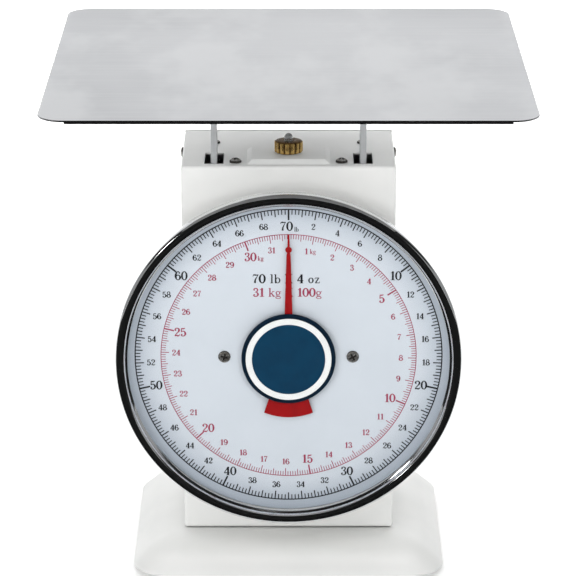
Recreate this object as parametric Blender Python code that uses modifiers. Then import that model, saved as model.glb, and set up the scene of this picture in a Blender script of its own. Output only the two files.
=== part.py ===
"""Mechanical dial platform scale: a spring scale with a round dial, built as separate pieces.

Frame: metres, +Z up, the dial faces -Y, +X is to the reader's right. The origin is on the floor,
under the middle of the platform tray. All driving dimensions below are in millimetres.
"""

import math

import bmesh
import bpy
from mathutils import Matrix, Vector

MM = 0.001
GAP = 0.3                                   # running gap between neighbouring pieces

# Platform tray and the frame that carries it
TRAY_SIZE = 340.0
TRAY_TOP = 366.0
TRAY_SHEET = 1.2
TRAY_CORNER = 18.0
TRAY_HEM = 2.6                              # depth of the folded rim on each straight side
HEM_END = 23.0                              # the rim stops this far from each corner
RAIL_TOP = 356.0
RAIL_HEIGHT = 10.0
RAIL_WIDTH = 12.0
RAIL_LENGTH = 190.0
TIE_PLATE_HALF = 42.0
PAD_Y = 84.0

# Base and body
BASE_WIDTH = 228.0
BASE_DEPTH = 198.0
BASE_TOP = 24.0
BASE_BOTTOM = 5.0
BASE_SHEET = 1.5
FOOT_X = 78.0
FOOT_Y = 65.0
BODY_WIDTH = 154.0
BODY_FRONT = -56.0
BODY_BACK = 46.0
BODY_TOP = 302.0
BODY_SHEET = 1.2
BODY_EDGE = 2.0                             # bend radius of the casing
PAD_HALF_WIDTH = 30.5                       # raised pressing round the adjuster
PAD_FRONT = -51.0
PAD_BACK = -9.0
PAD_HEIGHT = 3.2
SLOT_WIDTH = 13.4
SLOT_LENGTH = 26.0
FRONT_SCREW = (38.0, -44.0)
REAR_SCREW = (53.5, 8.0)
TOP_SCREW_HEAD = (4.3, 3.0)                 # radius, height
REAR_SCREW_HEAD = (3.4, 2.2)
SMALL_SCREW_HEAD = (3.8, 2.2)
COVER_SCREW_X = 62.0
COVER_SCREW_Z = (62.0, 284.0)
TAP_RADIUS = 2.3                            # hole for a screw's shank
SIDE_SCREW = (8.0, 295.0)                   # y, z

# Dial
DIAL_Z = 169.0
DRUM_RADIUS = 119.0
DRUM_BACK_RADIUS = 108.0
DRUM_SHOULDER = -82.0                       # the drum narrows behind this plane
DRUM_FRONT = -92.0
BEZEL_RADIUS = 124.0
BEZEL_INNER = 115.5
BEZEL_FRONT = -101.5
LENS_Y = -93.2
LENS_THICK = 2.0
DIAL_PLATE_Y = -84.2
DIAL_SCREW_X = 46.0
POINTER_Y = -88.5
HUB_RADIUS = 33.75
POINTER_TIP = 90.0
TAIL_RADIUS = 45.0
TAIL_HALF_ANGLE = 23.0

# Movement: carriage, levers, rack and pinion
TRAVEL = 18.84                              # carriage travel for one turn of the pointer
TEETH = 12
MODULE = 0.5
PITCH_RADIUS = TEETH * MODULE / 2
STRAP_X = 53.5
STRAP_THICK = 4.4
STRAP_FRONT = -46.5
STRAP_BACK = -22.5
MECH_Y = -28.0                              # plane of the springs, rack and adjuster
LEVER_LENGTH = 72.0
LEVER_PIVOT_Y = 37.0
LEVER_TILT = math.degrees(TRAVEL / LEVER_LENGTH / 2)
LOWER_PIVOT_Z = 70.0
UPPER_PIVOT_Z = 226.0
ARM_X = 48.5
SIDE_PLATE_X = 74.5
SPRING_X = 22.0
SPRING_TOP_PIN = 260.0
SPRING_BOTTOM_PIN = 126.0
SPRING_RADIUS = 7.6
SPRING_WIRE = 1.25
SPRING_TURNS = 11
HOOK_RADIUS = 4.6
CROSS_Z = 112.0
STUD_RADIUS = 3.2
NUT_RADIUS = 10.3
NUT_HEIGHT = 8.6
STUD_TOP = 319.2


def start_scene():
    """Empty the scene and make one collection for the parts and one for the cutting bodies."""
    for obj in list(bpy.data.objects):
        bpy.data.objects.remove(obj, do_unlink=True)
    made = []
    for name in ("dial_platform_scale", "cutters"):
        collection = bpy.data.collections.new(name)
        bpy.context.scene.collection.children.link(collection)
        made.append(collection)
    return made


PARTS, CUTTERS = start_scene()


def make_material(name, color, roughness, metallic=0.0, alpha=1.0):
    material = bpy.data.materials.new(name)
    material.use_nodes = True
    shader = material.node_tree.nodes["Principled BSDF"]
    shader.inputs["Base Color"].default_value = (*color, 1.0)
    shader.inputs["Roughness"].default_value = roughness
    shader.inputs["Metallic"].default_value = metallic
    shader.inputs["Alpha"].default_value = alpha
    return material


ENAMEL = make_material("white_enamel", (0.86, 0.86, 0.84), 0.25)
STAINLESS = make_material("brushed_stainless", (0.62, 0.62, 0.63), 0.32, 1.0)
CHROME = make_material("chrome", (0.80, 0.80, 0.80), 0.05, 1.0)
STEEL = make_material("zinc_steel", (0.50, 0.51, 0.52), 0.38, 1.0)
SPRING_STEEL = make_material("spring_steel", (0.34, 0.34, 0.36), 0.35, 1.0)
BRASS = make_material("brass", (0.62, 0.42, 0.14), 0.28, 1.0)
GLASS = make_material("clear_lens", (0.95, 0.97, 0.98), 0.03, 0.0, 0.2)
DIAL_PAINT = make_material("dial_print", (0.72, 0.77, 0.82), 0.45)
RED = make_material("pointer_red", (0.55, 0.0, 0.01), 0.35)
BLUE = make_material("hub_blue", (0.0, 0.06, 0.13), 0.35)
RUBBER = make_material("rubber", (0.03, 0.03, 0.03), 0.8)


# ---------------------------------------------------------------- basic shapes

def add_object(name, data, material, collection=None, location=(0, 0, 0), rotation=(0, 0, 0)):
    """Put mesh or curve data in the scene as one named piece; the place is in millimetres."""
    obj = bpy.data.objects.new(name, data)
    obj.location = Vector(location) * MM
    obj.rotation_euler = rotation
    (collection or PARTS).objects.link(obj)
    if material:
        data.materials.append(material)
    else:
        obj.hide_render = True
        obj.display_type = "WIRE"
    return obj


def box(name, low, high, material=None):
    """A box between two corners. Without a material it is a cutting or joining body."""
    size = [(b - a) * MM for a, b in zip(low, high)]
    centre = [(a + b) / 2 for a, b in zip(low, high)]
    mesh = bpy.data.meshes.new(name)
    bm = bmesh.new()
    bmesh.ops.create_cube(bm, size=1.0, matrix=Matrix.Diagonal((*size, 1.0)))
    bm.to_mesh(mesh)
    bm.free()
    return add_object(name, mesh, material, None if material else CUTTERS, centre)


def round_edges(obj, width, segments=2):
    bevel = obj.modifiers.new("Bevel", "BEVEL")
    bevel.width = width * MM
    bevel.segments = segments
    bevel.limit_method = "ANGLE"


TURN = {"Z": (0, 0, 0), "Y": (math.pi / 2, 0, 0), "-Y": (-math.pi / 2, 0, 0), "X": (0, math.pi / 2, 0)}


def rod(name, start, length, radius, axis="Z", material=None, sides=20):
    """A round bar from a start point along +X, +Y or +Z."""
    step = {"X": Vector((1, 0, 0)), "Y": Vector((0, 1, 0)), "Z": Vector((0, 0, 1))}[axis]
    centre = Vector(start) + step * length / 2
    mesh = bpy.data.meshes.new(name)
    bm = bmesh.new()
    bmesh.ops.create_cone(bm, cap_ends=True, segments=sides, radius1=radius * MM, radius2=radius * MM,
                          depth=length * MM)
    bm.to_mesh(mesh)
    bm.free()
    obj = add_object(name, mesh, material, None if material else CUTTERS, centre, TURN[axis])
    if material:
        shade_round(mesh)
    return obj


def shade_round(mesh):
    mesh.shade_smooth()
    mesh.set_sharp_from_angle(angle=math.radians(35))


def turned(name, profile, material, location=(0, 0, 0), rotation=(0, 0, 0), steps=32, wall=0.0):
    """A turned piece: (radius, height) points, listed from the top down the outer side.

    With a wall the profile is an open line that is thickened inwards, otherwise it is closed by
    the axis or, when its first and last points agree, it is a ring.
    """
    mesh = bpy.data.meshes.new(name)
    bm = bmesh.new()
    closed = profile[0] == profile[-1]
    points = profile[:-1] if closed else profile
    verts = [bm.verts.new((r * MM, 0.0, h * MM)) for r, h in points]
    for a, b in zip(verts, verts[1:] + (verts[:1] if closed else [])):
        bm.edges.new((a, b))
    bm.to_mesh(mesh)
    bm.free()
    obj = add_object(name, mesh, material, None if material else CUTTERS, location, rotation)
    screw = obj.modifiers.new("Screw", "SCREW")
    screw.axis = "Z"
    screw.steps = steps
    screw.render_steps = steps
    screw.use_merge_vertices = True
    screw.merge_threshold = 0.00001
    screw.use_smooth_shade = True
    if wall:
        thicken(obj, wall)
    return obj


def thicken(obj, wall):
    solid = obj.modifiers.new("Solidify", "SOLIDIFY")
    solid.thickness = wall * MM
    solid.offset = -1.0


def flat_outline(name, loops, thickness, material=None, location=(0, 0, 0), rotation=(0, 0, 0)):
    """A flat plate cut to one or more closed outlines; inner outlines are holes."""
    curve = bpy.data.curves.new(name, "CURVE")
    curve.dimensions = "2D"
    curve.fill_mode = "BOTH"
    curve.extrude = thickness * MM / 2
    for loop in loops:
        spline = curve.splines.new("POLY")
        spline.points.add(len(loop) - 1)
        for point, (x, y) in zip(spline.points, loop):
            point.co = (x * MM, y * MM, 0.0, 1.0)
        spline.use_cyclic_u = True
    return add_object(name, curve, material, None if material else CUTTERS, location, rotation)


def as_mesh(curve_obj, material=None):
    """Turn a curve piece into a welded mesh piece of the same name and place."""
    bpy.context.view_layer.update()
    depsgraph = bpy.context.evaluated_depsgraph_get()
    mesh = bpy.data.meshes.new_from_object(curve_obj.evaluated_get(depsgraph))
    bm = bmesh.new()
    bm.from_mesh(mesh)
    bmesh.ops.remove_doubles(bm, verts=bm.verts, dist=0.000002)
    bmesh.ops.recalc_face_normals(bm, faces=bm.faces)
    bm.to_mesh(mesh)
    bm.free()
    name, matrix = curve_obj.name, curve_obj.matrix_world.copy()
    bpy.data.objects.remove(curve_obj, do_unlink=True)
    obj = bpy.data.objects.new(name, mesh)
    obj.matrix_world = matrix
    (PARTS if material else CUTTERS).objects.link(obj)
    mesh.materials.clear()
    if material:
        mesh.materials.append(material)
    else:
        obj.hide_render = True
        obj.display_type = "WIRE"
    return obj


def boolean(obj, operation, others):
    for other in others:
        modifier = obj.modifiers.new(operation.title(), "BOOLEAN")
        modifier.operation = operation
        modifier.solver = "EXACT"
        modifier.object = other
    return obj


def cut(obj, *cutters):
    return boolean(obj, "DIFFERENCE", cutters)


def join(obj, *others):
    return boolean(obj, "UNION", others)


def circle(radius, sides, centre=(0.0, 0.0)):
    turn = 2 * math.pi / sides
    return [(centre[0] + radius * math.cos(i * turn), centre[1] + radius * math.sin(i * turn))
            for i in range(sides)]


def rounded_rectangle(width, depth, radius, arc_steps):
    """Corner arcs joined by straight sides, counterclockwise, centred on the origin."""
    points = []
    corners = ((1, 1, 0), (-1, 1, 90), (-1, -1, 180), (1, -1, 270))
    for sx, sy, start in corners:
        cx, cy = sx * (width / 2 - radius), sy * (depth / 2 - radius)
        for step in range(arc_steps + 1):
            angle = math.radians(start + 90.0 * step / arc_steps)
            points.append((cx + radius * math.cos(angle), cy + radius * math.sin(angle)))
    return points


def screw_piece(name, place, rotation, head_radius, head_height, shank_radius, shank_length):
    """A domed screw: its origin is under the head, and its local +Z points out of the head."""
    profile = [(0.0, head_height), (head_radius * 0.62, head_height * 0.80),
               (head_radius, head_height * 0.25), (head_radius, 0.0), (shank_radius, 0.0),
               (shank_radius, -shank_length), (0.0, -shank_length)]
    return turned(name, profile, STEEL, place, rotation, steps=12)


# ---------------------------------------------------------------- base

def build_base():
    """A pressed pan: flat top under the casing and wide slopes that flare to the floor."""
    levels = [(36.0, BASE_TOP), (28.0, BASE_TOP - 1.0), (20.0, BASE_TOP - 3.4), (12.5, BASE_TOP - 7.4),
              (6.5, BASE_BOTTOM + 6.6), (2.6, BASE_BOTTOM + 3.0), (0.7, BASE_BOTTOM + 1.0),
              (0.0, BASE_BOTTOM)]
    mesh = bpy.data.meshes.new("base_pan")
    bm = bmesh.new()
    rings = []
    for inset, height in levels:
        outline = rounded_rectangle(BASE_WIDTH - 2 * inset, BASE_DEPTH - 2 * inset, 26.0 - 0.6 * inset, 5)
        rings.append([bm.verts.new((x * MM, y * MM, height * MM)) for x, y in outline])
    for upper, lower in zip(rings, rings[1:]):
        count = len(upper)
        for i in range(count):
            j = (i + 1) % count
            bm.faces.new((upper[i], lower[i], lower[j], upper[j]))
    bm.faces.new(rings[0])
    bmesh.ops.recalc_face_normals(bm, faces=bm.faces)
    bm.to_mesh(mesh)
    bm.free()
    pan = add_object("base_pan", mesh, ENAMEL)
    thicken(pan, BASE_SHEET)
    shade_round(mesh)

    top = BASE_TOP - BASE_SHEET - 3 * GAP
    foot = [(0.0, top), (3.5, top), (8.0, top - 1.5), (10.5, top - 5.0), (13.0, 1.5), (12.0, 0.0), (0.0, 0.0)]
    for index, (sx, sy) in enumerate(((-1, -1), (1, -1), (1, 1), (-1, 1)), 1):
        turned(f"foot_{index}", foot, RUBBER, (sx * FOOT_X, sy * FOOT_Y, 0.0), steps=16)


# ---------------------------------------------------------------- body casing

def build_casing():
    """Front, sides and top folded from one sheet, open at the back and below."""
    half, inner = BODY_WIDTH / 2, BODY_WIDTH / 2 - BODY_SHEET
    bottom, back = BASE_TOP + GAP, BODY_BACK - BODY_SHEET - GAP
    casing = box("body_casing", (-half, BODY_FRONT, bottom), (half, back, BODY_TOP), ENAMEL)
    hollow = box("casing_hollow", (-inner, BODY_FRONT + BODY_SHEET, bottom - 10.0),
                 (inner, back + 10.0, BODY_TOP - BODY_SHEET))
    round_edges(casing, BODY_EDGE)
    join(casing, pad_body("adjuster_pad", 0.0))
    cut(casing, hollow, pad_body("adjuster_pad_hollow", BODY_SHEET))
    cut(casing, rod("shaft_opening", (0, BODY_FRONT - 5, DIAL_Z), 20.0, 12.0, "Y"),
        rod("stud_hole", (0, MECH_Y, BODY_TOP - 10), 20.0, STUD_RADIUS + 0.5))
    for side in (-1, 1):
        slot_front = STRAP_FRONT - (SLOT_LENGTH - (STRAP_BACK - STRAP_FRONT)) / 2
        cut(casing, box(f"strap_slot_{side}", (side * STRAP_X - SLOT_WIDTH / 2, slot_front, BODY_TOP - 5),
                        (side * STRAP_X + SLOT_WIDTH / 2, slot_front + SLOT_LENGTH, BODY_TOP + 5)))
        for label, (x, y) in (("front", FRONT_SCREW), ("rear", REAR_SCREW)):
            cut(casing, rod(f"{label}_screw_hole_{side}", (side * x, y, BODY_TOP - 4), 8.0, TAP_RADIUS, "Z",
                            None, 12))
            name = f"top_{label}_screw_{'left' if side < 0 else 'right'}"
            head = TOP_SCREW_HEAD if label == "front" else REAR_SCREW_HEAD
            screw_piece(name, (side * x, y, BODY_TOP + 0.1), (0, 0, 0), *head, 2.0, 3.4)
        y, z = SIDE_SCREW
        reach = BODY_WIDTH / 2 + 0.1
        cut(casing, rod(f"side_screw_hole_{side}", (side * half - 4, y, z), 8.0, TAP_RADIUS, "X", None, 12))
        screw_piece(f"side_screw_{'left' if side < 0 else 'right'}", (side * reach, y, z),
                    (0, side * math.pi / 2, 0), *SMALL_SCREW_HEAD, 2.0, 3.4)

    cover_inside = BODY_BACK - BODY_SHEET
    cover = box("rear_cover", (-half, cover_inside, bottom), (half, BODY_BACK, BODY_TOP), ENAMEL)
    corners = [(sx * COVER_SCREW_X, COVER_SCREW_Z[upper]) for sx, upper in ((-1, 0), (1, 0), (1, 1), (-1, 1))]
    for index, (x, z) in enumerate(corners, 1):
        cut(cover, rod(f"cover_hole_{index}", (x, cover_inside - 4, z), 8.0, TAP_RADIUS, "Y", None, 12))
        screw_piece(f"rear_cover_screw_{index}", (x, BODY_BACK + 0.1, z), TURN["-Y"], *SMALL_SCREW_HEAD,
                    2.0, 3.4)


def pad_body(name, inset):
    """The raised pressing in the casing's top, or its hollow underside when inset by the sheet."""
    draft = 2.2
    mesh = bpy.data.meshes.new(name)
    bm = bmesh.new()
    half_x, half_y = PAD_HALF_WIDTH - inset, (PAD_BACK - PAD_FRONT) / 2 - inset
    low, high = -6.0, PAD_HEIGHT - inset
    bmesh.ops.create_cube(bm, size=2.0)
    for vert in bm.verts:
        raised = vert.co.z > 0
        lean = draft if raised else 0.0
        place = (vert.co.x * (half_x - lean), vert.co.y * (half_y - lean), high if raised else low)
        vert.co = Vector(place) * MM
    bm.to_mesh(mesh)
    bm.free()
    return add_object(name, mesh, None, CUTTERS, (0, (PAD_FRONT + PAD_BACK) / 2, BODY_TOP))


# ---------------------------------------------------------------- dial

def build_dial():
    """Drum, bezel, lens, printed plate and its fixings, all turned about the dial's axis.

    Heights along the turning axis are distances out of the casing's front towards the reader.
    """
    place, out = (0, 0, DIAL_Z), TURN["Y"]
    back, front = -BODY_FRONT + GAP, -DRUM_FRONT
    wall = 1.2
    shoulder, rear = -DRUM_SHOULDER, DRUM_BACK_RADIUS
    drum = [(DRUM_RADIUS, front), (DRUM_RADIUS, shoulder), (rear + 0.8, back + 3.0), (rear - 2.2, back),
            (13.0, back), (13.0, back + wall), (rear - 2.7, back + wall), (rear - 0.5, back + 3.5),
            (DRUM_RADIUS - wall, shoulder + 0.2), (DRUM_RADIUS - wall, front), (DRUM_RADIUS, front)]
    turned("dial_housing", drum, ENAMEL, place, out, steps=56)

    centre_r = (BEZEL_RADIUS + BEZEL_INNER) / 2
    half_r, seat = (BEZEL_RADIUS - BEZEL_INNER) / 2, -LENS_Y + LENS_THICK + GAP + 0.1
    rise = -BEZEL_FRONT - seat
    roll = [(centre_r - half_r * math.cos(t * math.pi / 6), seat + rise * math.sin(t * math.pi / 6))
            for t in range(7)]
    bezel = [*roll, (BEZEL_RADIUS, 88.5)]
    turned("bezel_ring", bezel, CHROME, place, out, steps=48, wall=1.0)

    ring("lens_gasket", 116.3, 118.5, front + GAP, -LENS_Y - GAP, RUBBER, 40)
    disc = [(0.0, -LENS_Y + LENS_THICK), (118.5, -LENS_Y + LENS_THICK), (118.5, -LENS_Y), (0.0, -LENS_Y)]
    turned("dial_lens", disc, GLASS, place, out, steps=56)

    plate = ring("dial_plate", 6.0, 117.4, -DIAL_PLATE_Y, -DIAL_PLATE_Y + 1.0, DIAL_PAINT, 56)
    for side, label in ((-1, "left"), (1, "right")):
        x = side * DIAL_SCREW_X
        cut(plate, rod(f"dial_screw_hole_{label}", (x, DIAL_PLATE_Y - 6, DIAL_Z), 12.0, TAP_RADIUS, "Y",
                       None, 12))
        screw_piece(f"dial_screw_{label}", (x, DIAL_PLATE_Y - 1.1, DIAL_Z), out, 4.4, 1.8, 1.8, 5.0)
        post = ring(f"dial_post_{label}", 2.1, 4.0, back + wall + GAP, -DIAL_PLATE_Y - GAP, STEEL, 12)
        post.location.x = x * MM


def ring(name, inner, outer, low, high, material, steps):
    """A flat ring about the dial's axis, between two distances towards the reader."""
    profile = [(outer, high), (outer, low), (inner, low), (inner, high), (outer, high)]
    return turned(name, profile, material, (0, 0, DIAL_Z), TURN["Y"], steps=steps)


def pointer_outline():
    """Needle with a round blob near its tip and a sector tail, drawn with the tip at the top."""
    hub, blob_r, blob_at = 7.0, 2.6, 78.8
    root_half, neck_half, fine_half = 2.9, 1.7, 0.5
    right = [(fine_half * 0.5, POINTER_TIP), (fine_half, blob_at + blob_r)]
    for step in range(1, 6):
        angle = math.radians(75 - 30 * step)
        right.append((blob_r * math.cos(angle), blob_at + blob_r * math.sin(angle)))
    right += [(neck_half, blob_at - blob_r - 0.5), (root_half, 30.0), (root_half, hub)]
    right += [(hub * math.cos(math.radians(a)), hub * math.sin(math.radians(a))) for a in (45, 0, -35)]
    for step in range(5):
        angle = math.radians(TAIL_HALF_ANGLE * (1 - step / 4))
        right.append((TAIL_RADIUS * math.sin(angle), -TAIL_RADIUS * math.cos(angle)))
    return right + [(-x, z) for x, z in reversed(right[:-1])]


def build_pointer():
    """Pointer, hub cap, shaft and pinion, which turn together about the dial's axis."""
    axle = bpy.data.objects.new("pointer_axis", None)
    axle.location = Vector((0, 0, DIAL_Z)) * MM
    PARTS.objects.link(axle)
    thick = 0.7
    shaft_r = 2.0
    bore = circle(shaft_r + 0.15, 20)
    flat_outline("pointer", [pointer_outline(), bore], thick, RED, (0, POINTER_Y - thick / 2, 0), TURN["Y"])
    cap_back = -POINTER_Y + thick + GAP
    cap = [(0.0, cap_back + 2.5), (HUB_RADIUS - 1.5, cap_back + 2.3), (HUB_RADIUS, cap_back + 1.2),
           (HUB_RADIUS, cap_back), (0.0, cap_back)]
    turned("hub_cap", cap, BLUE, (0, 0, 0), TURN["Y"], steps=40)
    shaft_front = cap_back - GAP
    rod("pointer_shaft", (0, -shaft_front, 0), shaft_front - 9.0, shaft_r, "Y", STEEL)
    gear_outline = []
    tooth = 2 * math.pi / TEETH
    for i in range(TEETH):
        middle = tooth * i + tooth / 2
        for radius, half in ((PITCH_RADIUS - 0.62, 0.19), (PITCH_RADIUS - 0.1, 0.115),
                             (PITCH_RADIUS + 0.25, 0.055)):
            gear_outline.append((radius, middle - half))
        for radius, half in ((PITCH_RADIUS + 0.25, 0.055), (PITCH_RADIUS - 0.1, 0.115),
                             (PITCH_RADIUS - 0.62, 0.19)):
            gear_outline.append((radius, middle + half))
    points = [(r * math.cos(a), r * math.sin(a)) for r, a in gear_outline]
    flat_outline("pinion", [points, bore], 8.0, BRASS, (0, MECH_Y, 0), TURN["Y"])
    for name in ("pointer", "hub_cap", "pointer_shaft", "pinion"):
        bpy.data.objects[name].parent = axle


# ---------------------------------------------------------------- chassis

def build_chassis():
    """Side plates beside the casing walls, the top bridge and the two bearing plates."""
    low = BASE_TOP + GAP
    top = BODY_TOP - BODY_SHEET - GAP
    edge = SIDE_PLATE_X + 1.0
    for side, label in ((-1, "left"), (1, "right")):
        def span(x0, x1, y0, y1, z0, z1):
            xs = sorted((side * x0, side * x1))
            return (xs[0], y0, z0), (xs[1], y1, z1)

        plate = box(f"side_plate_{label}", *span(edge - 2.0, edge, -52.0, 42.3, low, top), STEEL)
        join(plate,
             box(f"foot_flange_{label}", *span(edge - 18.0, edge - 0.5, -51.0, 41.5, low + 0.05, low + 2.0)),
             box(f"rear_flange_{label}", *span(edge - 22.0, edge - 0.5, 42.0, 44.0, low + 10.0, top - 5.0)),
             box(f"top_flange_{label}", *span(46.0, edge - 0.5, 3.0, 40.0, top - 1.5, top - 0.05)))
        for pivot_z in (LOWER_PIVOT_Z, UPPER_PIVOT_Z):
            cut(plate, rod(f"pivot_hole_{label}_{pivot_z:.0f}", (side * edge - 6, LEVER_PIVOT_Y, pivot_z),
                           12.0, 3.1, "X"))
        y, z = SIDE_SCREW
        cut(plate, rod(f"side_tap_{label}", (side * edge - 6, y, z), 12.0, TAP_RADIUS, "X", None, 12))
        for index, z in enumerate(COVER_SCREW_Z):
            cut(plate, rod(f"cover_tap_{label}_{index}", (side * COVER_SCREW_X, 38.0, z), 12.0, TAP_RADIUS,
                           "Y", None, 12))
        cut(plate, rod(f"top_tap_{label}", (side * REAR_SCREW[0], REAR_SCREW[1], top - 6), 12.0,
                       TAP_RADIUS, "Z", None, 12))

    reach = edge - 2.0 - GAP
    bridge = box("top_bridge", (-reach, -14.0, top - 3.5), (reach, 2.0, top), STEEL)
    join(bridge, box("bridge_tongue", (-46.0, -52.0, top - 3.4), (46.0, -13.5, top - 0.1)),
         box("bridge_web", (-reach + 0.1, -1.6, top - 16.0), (reach - 0.1, 1.9, top - 1.0)))
    cut(bridge, rod("bridge_stud_hole", (0, MECH_Y, top - 20), 40.0, STUD_RADIUS + 0.5))
    for side in (-1, 1):
        x, y = FRONT_SCREW
        cut(bridge, rod(f"bridge_tap_{side}", (side * x, y, top - 20), 40.0, TAP_RADIUS, "Z", None, 12))

    for label, y0 in (("front", -52.0), ("rear", -14.0)):
        plate = box(f"{label}_bearing_plate", (-reach, y0, DIAL_Z - 22),
                    (reach, y0 + 1.5, DIAL_Z + 22), STEEL)
        cut(plate, rod(f"{label}_bearing_hole", (0, y0 - 5, DIAL_Z), 12.0, 4.3, "Y"))
        bush = [(6.0, 2.4), (6.0, 0.4), (4.1, 0.2), (4.1, -2.6), (2.1, -2.6), (2.1, 2.4), (6.0, 2.4)]
        turned(f"{label}_bush", bush, BRASS, (0, y0 - 0.1, DIAL_Z), TURN["Y"], steps=20)

    for label, z in (("lower", LOWER_PIVOT_Z), ("upper", UPPER_PIVOT_Z)):
        rod(f"{label}_pivot_shaft", (-edge + 0.2, LEVER_PIVOT_Y, z), 2 * edge - 0.4, 3.0, "X", STEEL)


# ---------------------------------------------------------------- moving carriage

def build_levers():
    """Two equal levers that keep the platform level: they turn on the rear pivot shafts."""
    front, rear = -LEVER_LENGTH - 5.0, 6.0
    outer, inner = ARM_X + 1.5, ARM_X - 1.5
    web_back, web_front = -16.0, -19.0
    outline = [(outer, front), (outer, rear), (inner, rear), (inner, web_back), (-inner, web_back),
               (-inner, rear), (-outer, rear), (-outer, front), (-inner, front), (-inner, web_front),
               (inner, web_front), (inner, front)]
    for label, z in (("lower", LOWER_PIVOT_Z), ("upper", UPPER_PIVOT_Z)):
        pivot = (0, LEVER_PIVOT_Y, z)
        tilt = (-math.radians(LEVER_TILT), 0, 0)
        lever = as_mesh(flat_outline(f"{label}_lever", [outline], 12.0, STEEL, pivot, tilt), STEEL)
        drop = math.radians(LEVER_TILT)
        pin_y = LEVER_PIVOT_Y - LEVER_LENGTH * math.cos(drop)
        pin_z = z + LEVER_LENGTH * math.sin(drop)
        for side in (-1, 1):
            start = (ARM_X if side > 0 else -ARM_X - 9.5, pin_y, pin_z)
            join(lever, rod(f"{label}_lever_pin_{side}", start, 9.5, 2.5, "X"))
        cut(lever, rod(f"{label}_lever_bore", (-60, LEVER_PIVOT_Y, z), 120.0, 3.1, "X"))


def build_carriage():
    """Straps through the casing's top, the lower cross channel, the rack and the platform frame."""
    pin_rise = LEVER_LENGTH * math.sin(math.radians(LEVER_TILT))
    pin_y = LEVER_PIVOT_Y - LEVER_LENGTH * math.cos(math.radians(LEVER_TILT))
    rail_low = RAIL_TOP - RAIL_HEIGHT
    for side, label in ((-1, "left"), (1, "right")):
        x = side * STRAP_X
        strap = box(f"strap_{label}", (x - STRAP_THICK / 2, STRAP_FRONT, 66.0),
                    (x + STRAP_THICK / 2, STRAP_BACK, rail_low - GAP), ENAMEL)
        for pivot_z in (LOWER_PIVOT_Z, UPPER_PIVOT_Z):
            z = pivot_z + pin_rise
            cut(strap, box(f"pin_slot_{label}_{pivot_z:.0f}", (x - 5, pin_y - 3.6, z - 2.8),
                           (x + 5, pin_y + 3.6, z + 2.8)))
        rail = box(f"rail_{label}", (x - RAIL_WIDTH / 2, -RAIL_LENGTH / 2, rail_low),
                   (x + RAIL_WIDTH / 2, RAIL_LENGTH / 2, RAIL_TOP), ENAMEL)
        round_edges(rail, 1.0, 1)
        for sy, where in ((-1, "front"), (1, "rear")):
            rod(f"pad_{where}_{label}", (x, sy * PAD_Y, RAIL_TOP + GAP),
                TRAY_TOP - TRAY_SHEET - RAIL_TOP - 2 * GAP, 7.5, "Z", RUBBER, 20)
    bar_half = STRAP_X - RAIL_WIDTH / 2 - GAP
    box("rail_tie_plate", (-bar_half, -TIE_PLATE_HALF, rail_low + 4),
        (bar_half, TIE_PLATE_HALF, RAIL_TOP - 3), ENAMEL)

    reach = STRAP_X - STRAP_THICK / 2 - GAP
    cross = box("carriage_cross", (-reach, MECH_Y - 11, CROSS_Z), (reach, MECH_Y + 11, CROSS_Z + 2), STEEL)
    for sy in (-1, 1):
        y = MECH_Y + sy * 10
        join(cross, box(f"cross_flange_{sy}", (-reach + 0.1, y - 0.9, CROSS_Z + 0.1),
                        (reach - 0.1, y + 0.9, SPRING_BOTTOM_PIN + 5)))
    for side in (-1, 1):
        join(cross, rod(f"cross_pin_{side}", (side * SPRING_X, MECH_Y - 10, SPRING_BOTTOM_PIN), 20.0, 1.5,
                        "Y", None, 12))

    build_rack()
    rod_top = CROSS_Z - GAP
    piston = [(0.0, rod_top), (2.5, rod_top), (2.5, 62.0), (10.8, 61.0), (10.8, 56.0), (0.0, 56.0)]
    turned("dashpot_piston", piston, STEEL, (0, MECH_Y, 0), steps=24)
    floor, mouth = BASE_TOP + GAP, 86.0
    cylinder = [(0.0, floor + 2.0), (11.2, floor + 2.0), (11.2, mouth), (12.6, mouth), (12.6, floor),
                (0.0, floor)]
    turned("dashpot_cylinder", cylinder, STEEL, (0, MECH_Y, 0), steps=28)


def build_rack():
    """Rack bar on the pinion's right side: it goes down with the load and turns the pointer."""
    pitch = math.pi * MODULE
    line = PITCH_RADIUS + 0.08
    tip, root = line - 0.30, line + 0.62
    first, count = -3, 18
    points = [(8.0, 196.0 - DIAL_Z), (8.0, CROSS_Z + 2 + GAP - DIAL_Z), (root, CROSS_Z + 2 + GAP - DIAL_Z)]
    for i in range(first, first + count):
        z = pitch * i
        points += [(root, z - 0.50), (tip, z - 0.16), (tip, z + 0.16), (root, z + 0.50)]
    points.append((root, 196.0 - DIAL_Z))
    flat_outline("rack", [points], 6.0, BRASS, (0, MECH_Y, DIAL_Z), TURN["Y"])


def coil_points():
    """Middle line of an extension spring with a round hook at each end, about its own axis."""
    top, bottom = SPRING_TOP_PIN, SPRING_BOTTOM_PIN
    rise = SPRING_RADIUS + HOOK_RADIUS
    coil_low, coil_high = bottom + rise, top - rise
    steps = 9
    points = []
    for i in range(SPRING_TURNS * steps + 1):
        angle = 2 * math.pi * i / steps
        z = coil_low + (coil_high - coil_low) * i / (SPRING_TURNS * steps)
        points.append((SPRING_RADIUS * math.cos(angle), SPRING_RADIUS * math.sin(angle), z))
    neck = [(SPRING_RADIUS * 0.55, 0.0, coil_high + 2.6), (0.6, 0.0, coil_high + 4.6)]
    hook = []
    for step in range(9):
        angle = math.radians(-90 + 35 * step)
        hook.append((HOOK_RADIUS * math.cos(angle), 0.0, top + HOOK_RADIUS * math.sin(angle)))
    upper = neck + hook
    middle = (top + bottom) / 2
    lower = [(x, y, 2 * middle - z) for x, y, z in upper]
    return list(reversed(lower)) + points + upper


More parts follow.
